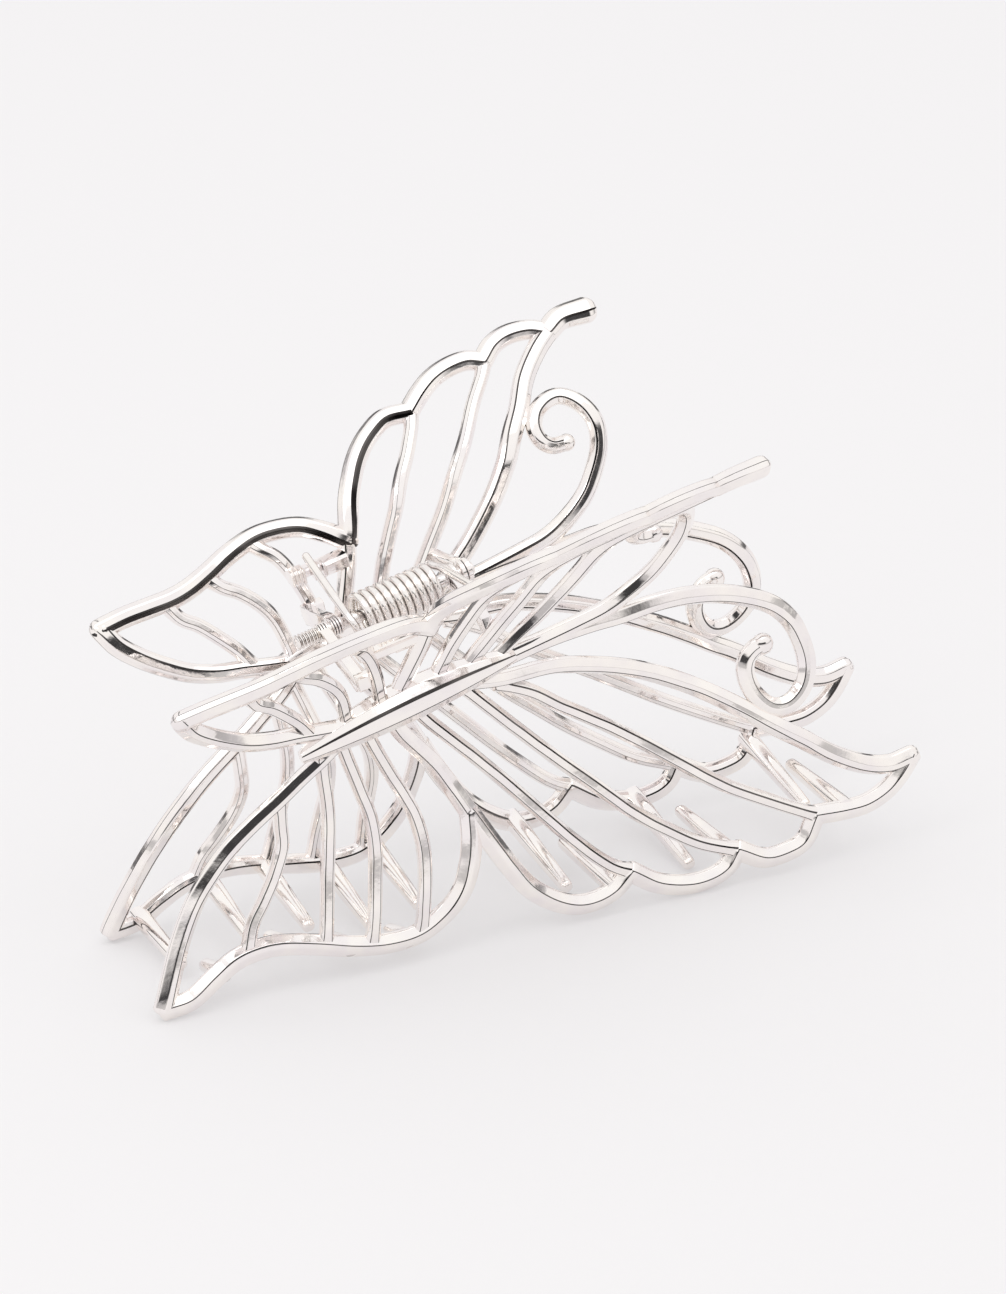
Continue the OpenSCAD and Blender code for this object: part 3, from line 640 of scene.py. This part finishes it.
# ---------------------------------------------------------------- pin and spring
# each turn of the thread has six points; the fourth and fifth are the bottom of its groove, which is painted dark as
# shade
TURN = [(0, 0.9), (0.08, 0.95), (0.17, 0.9), (0.23, 0.68), (0.33, 0.64), (0.4, 0.7)]
head = [(PIN_LEFT, 0.5), (PIN_LEFT + 0.06, 0.66)]
thread = [(PIN_LEFT + THREAD_START + i * THREAD_PITCH + x, r) for i in range(THREAD_TURNS) for x, r in TURN]
shank = [(x, PIN_RADIUS) for x in np.linspace(PIN_LEFT + 2.9, PIN_RIGHT - 0.16, 40)]
section = circle(40)
verts, faces, _ = lathe(head + thread + shank + [(PIN_RIGHT - 0.06, 0.69), (PIN_RIGHT, 0.55)], section)
painted_shade_grooves = {(len(head) + len(TURN) * i + 3) * len(section) + j
                for i in range(THREAD_TURNS) for j in range(len(section))}
solid("threaded_hinge_pin", [(verts, faces, painted_shade_grooves)],
      axle(), "back_half", ["hinge_pin"], steel)

# the coil's first steps are drawn out to the left, towards its first leg
turns = COIL_TURNS + 0.75
angle = -math.pi / 2 - 2 * math.pi * np.linspace(0, turns, int(turns * COIL_STEPS) + 1)
ease = np.clip(1 - np.arange(len(angle)) / EASE_STEPS, 0, 1)
coil = np.column_stack([np.linspace(COIL_LEFT, COIL_RIGHT, len(angle)) - EASE * ease ** 2,
                        COIL_RADIUS * np.sin(angle), COIL_RADIUS * np.cos(angle)])
left_leg = [[COIL_LEFT - 1.3, 9.2, 4.78], [COIL_LEFT - 1.35, 5.2, 3.44], [COIL_LEFT - 1.4, 1.2, 2.1],
            [COIL_LEFT - 1.4, -0.9, 1.5], [COIL_LEFT - 1.25, -2.05, 0.8]]
right_leg = [[COIL_RIGHT + 0.45, -1.4, 2.55], [COIL_RIGHT + 0.65, -5.4, 3.15], [COIL_RIGHT + 0.8, -9.3, 3.75]]
path = smooth(left_leg + coil.tolist() + right_leg, 0.36)
from_axis = np.hypot(path[:, 1], path[:, 2])
gauge = np.interp(from_axis, (COIL_RADIUS + 0.1, COIL_RADIUS + 0.6), (COIL_WIRE / 2, LEG_WIRE / 2))
spring = solid("wound_spring", [round_wire(path, gauge)], axle(), None, ["torsion_spring"], steel)
axle() @ Vector((COIL_LEFT, 0, 0)) * MM
axle() @ Vector((COIL_RIGHT + 0.3, 0, 0)) * MM
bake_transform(spring)

# ---------------------------------------------------------------- floor, surroundings, lights
ROOM_AZIMUTH, AIM_HEIGHT = -15, 0.03

floor_mat = bpy.data.materials.new("pale_floor")
floor_mat.use_nodes = True
floor_shader = floor_mat.node_tree.nodes["Principled BSDF"]
floor_shader.inputs["Base Color"].default_value = (0.5, 0.493, 0.497, 1)
floor_shader.inputs["Emission Color"].default_value = (1, 0.985, 0.995, 1)
floor_shader.inputs["Emission Strength"].default_value = 0.36
floor_shader.inputs["Roughness"].default_value = 0.85
floor = make_object("floor", [(-6, -6, 0), (6, -6, 0), (6, 6, 0), (-6, 6, 0)], [[0, 1, 2, 3]])
floor.data.materials.append(floor_mat)

world = bpy.data.worlds.new("studio")
scene.world = world
world.use_nodes = True
wn, wl = world.node_tree.nodes, world.node_tree.links
wn.clear()


def world_node(kind, inputs=(), output=0, **settings):
    """Output of a new node of the surroundings. An input is a link, a value, or None to be left as it is."""
    node = wn.new(kind)
    for key, value in settings.items():
        setattr(node, key, value)
    for i, value in enumerate(inputs):
        if isinstance(value, bpy.types.NodeSocket):
            wl.new(value, node.inputs[i])
        elif value is not None:
            node.inputs[i].default_value = value
    return node.outputs[output] if node.outputs else None


def fade(value, start, end):
    """0 below start, 1 above end, smooth between; falls the other way if end is below start."""
    low, high = min(start, end), max(start, end)
    flip = (0.0, 1.0) if end > start else (1.0, 0.0)
    return world_node("ShaderNodeMapRange", (value, low, high, *flip), interpolation_type="SMOOTHSTEP")


def times(a, b):
    """Product of two values."""
    return world_node("ShaderNodeMath", (a, b), operation="MULTIPLY")


def mixed(factor, a, b):
    """Colour a, giving way to colour b as the factor rises; the colours are the node's inputs 6 and 7."""
    return world_node("ShaderNodeMix", (factor, *[None] * 5, a, b), 2, data_type="RGBA")


toward = world_node("ShaderNodeTexCoord")
height = world_node("ShaderNodeSeparateXYZ", (toward,), "Z")
facing = world_node("ShaderNodeVectorMath", (toward, tuple(direction(ROOM_AZIMUTH, 0))), "Value",
                    operation="DOT_PRODUCT")
# bright tent, a little warmer low down, with the dark room behind the camera and a thin gap along the horizon
tent = mixed(fade(height, 0.1, 0.8), (0.95, 0.93, 0.92, 1), (1.0, 1.0, 1.0, 1))
room = times(times(fade(height, 0.07, 0.15), fade(height, 0.44, 0.33)), fade(facing, 0.7, 0.85))
gap = times(fade(height, 0.0, 0.03), fade(height, 0.2, 0.1))
behind = fade(facing, 0.2, -0.4)
sky = mixed(times(room, 0.97), tent, (0.02, 0.02, 0.022, 1))
sky = mixed(times(gap, 0.45), sky, (0.1, 0.1, 0.11, 1))
sky = mixed(times(times(gap, behind), 0.85), sky, (0.06, 0.06, 0.065, 1))
world_node("ShaderNodeOutputWorld", (world_node("ShaderNodeBackground", (sky, 1.0)),))


def area(name, azimuth, elevation, distance, size, power, colour=(1, 1, 1)):
    """Soft box aimed at the middle of the object."""
    data = bpy.data.lights.new(name, "AREA")
    data.shape, data.size, data.size_y = "RECTANGLE", size[0], size[1]
    data.energy, data.color = power, colour
    obj = bpy.data.objects.new(name, data)
    scene.collection.objects.link(obj)
    d = direction(azimuth, elevation)
    obj.location = Vector((0, 0, AIM_HEIGHT)) + d * distance
    obj.rotation_mode = "QUATERNION"
    obj.rotation_quaternion = (-d).to_track_quat("-Z", "Y")
    obj.visible_camera = False


area("key", -75, 50, 0.9, (0.35, 0.35), 0.9, (1, 0.985, 0.97))
area("top", 20, 80, 0.9, (0.8, 0.6), 0.8)

scene.view_settings.view_transform = "Standard"
scene.cycles.sample_clamp_indirect = 20
